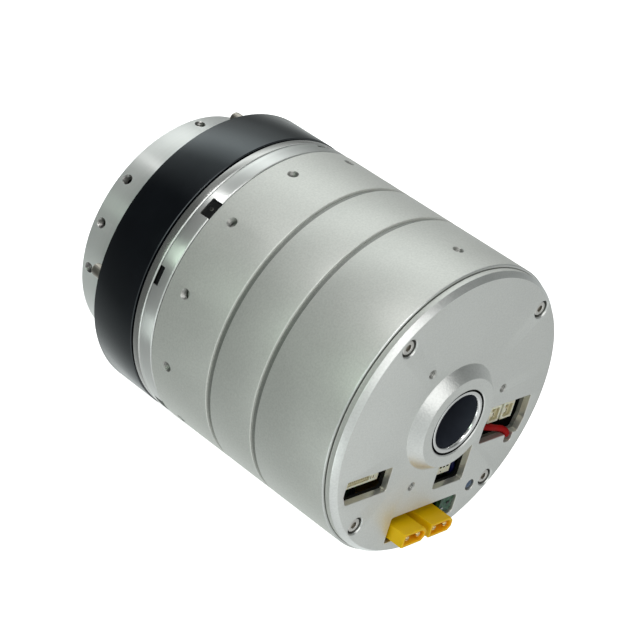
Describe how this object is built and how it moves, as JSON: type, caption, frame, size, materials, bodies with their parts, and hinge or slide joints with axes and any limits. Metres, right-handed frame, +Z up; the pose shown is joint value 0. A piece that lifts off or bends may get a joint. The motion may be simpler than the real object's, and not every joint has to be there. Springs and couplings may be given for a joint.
{
  "type": "hollow-shaft robot joint actuator",
  "caption": "Cylindrical hollow-shaft robot joint actuator: silver stepped housing, black gear case, turning output flange and a rear cover with power plugs and signal sockets.",
  "frame": {"origin": "under the middle of the actuator as it lies on its side, at the bottom of its bounding box", "axes": "+Y along the shaft axis from the connector cover to the output flange, +Z up, with the power plugs at the bottom of the cover"},
  "size_m": [0.095, 0.1238, 0.095],
  "materials": {
    "anodised_aluminium": "bead-blasted, clear anodised",
    "turned_aluminium": "fine turned satin",
    "black_steel": "black oxide, smooth",
    "polished_steel": "ground and polished",
    "bearing_steel": "ground",
    "core_iron": "laminated iron",
    "copper_winding": "enamelled copper wire, potted",
    "circuit_board": "green solder mask",
    "white_connector": "natural nylon",
    "yellow_connector": "moulded nylon",
    "gold_pin": "gold plated",
    "red_wire": "silicone insulation",
    "blue_wire": "silicone insulation",
    "light_pipe": "clear moulding",
    "brass_standoff": "plain",
    "brake_body": "phosphated",
    "magnet": "nickel plated",
    "friction_lining": "moulded lining",
    "code_disc": "plain",
    "seal_rubber": "plain"
  },
  "bodies": {
    "housing": {"rear_cover": "anodised_aluminium", "cover_screw_1": "polished_steel", "cover_screw_2": "polished_steel", "cover_screw_3": "polished_steel", "cover_screw_4": "polished_steel", "rear_housing": "anodised_aluminium", "mid_housing": "anodised_aluminium", "front_housing": "anodised_aluminium", "adapter_ring": "turned_aluminium", "locking_ring": "black_steel", "circular_spline": "polished_steel", "gear_case": "black_steel", "case_screw_1": "polished_steel", "case_screw_2": "polished_steel", "case_screw_3": "polished_steel", "case_screw_4": "polished_steel", "bearing_outer_ring": "bearing_steel", "output_seal": "seal_rubber", "stator_core": "core_iron", "winding_rear": "copper_winding", "winding_front": "copper_winding", "rear_bearing": "bearing_steel", "front_bearing": "bearing_steel", "brake_coil": "brake_body", "driver_board": "circuit_board", "encoder_board": "circuit_board", "board_standoff_1": "brass_standoff", "board_standoff_2": "brass_standoff", "board_standoff_3": "brass_standoff", "power_plug_left": "yellow_connector", "power_plug_right": "yellow_connector", "power_pin_1": "gold_pin", "power_pin_2": "gold_pin", "power_pin_3": "gold_pin", "power_pin_4": "gold_pin", "signal_header_left": "white_connector", "signal_header_mid": "white_connector", "io_header_1": "white_connector", "io_header_2": "white_connector", "lead_red": "red_wire", "lead_blue": "blue_wire", "status_lens": "light_pipe"},
    "output": {"output_flange": "turned_aluminium", "hollow_shaft": "polished_steel", "flexspline": "bearing_steel", "bearing_inner_ring": "bearing_steel", "output_encoder_disc": "code_disc", "flange_screw_1": "polished_steel", "flange_screw_2": "polished_steel", "flange_screw_3": "polished_steel", "flange_screw_4": "polished_steel"},
    "rotor": {"rotor_hub": "bearing_steel", "magnet_ring": "magnet", "wave_cam": "bearing_steel", "wave_bearing": "bearing_steel", "brake_disc": "friction_lining", "motor_encoder_disc": "code_disc"},
    "brake": {"brake_armature": "core_iron"}
  },
  "joints": [
    {"name": "output_spin", "type": "hinge", "parent": "housing", "child": "output", "pos_m": [0, 0, 0.0475], "axis": [0, 1, 0], "continuous": true},
    {"name": "rotor_spin", "type": "hinge", "parent": "housing", "child": "rotor", "pos_m": [0, 0, 0.0475], "axis": [0, 1, 0], "continuous": true},
    {"name": "brake_release", "type": "slide", "parent": "housing", "child": "brake", "axis": [0, -1, 0], "range_m": [0, 0.0003], "stiffness_N_per_m": 20000, "springref_m": -0.001}
  ],
  "couplings": [
    {"joint": "rotor_spin", "follows": "output_spin", "ratio": -100}
  ]
}
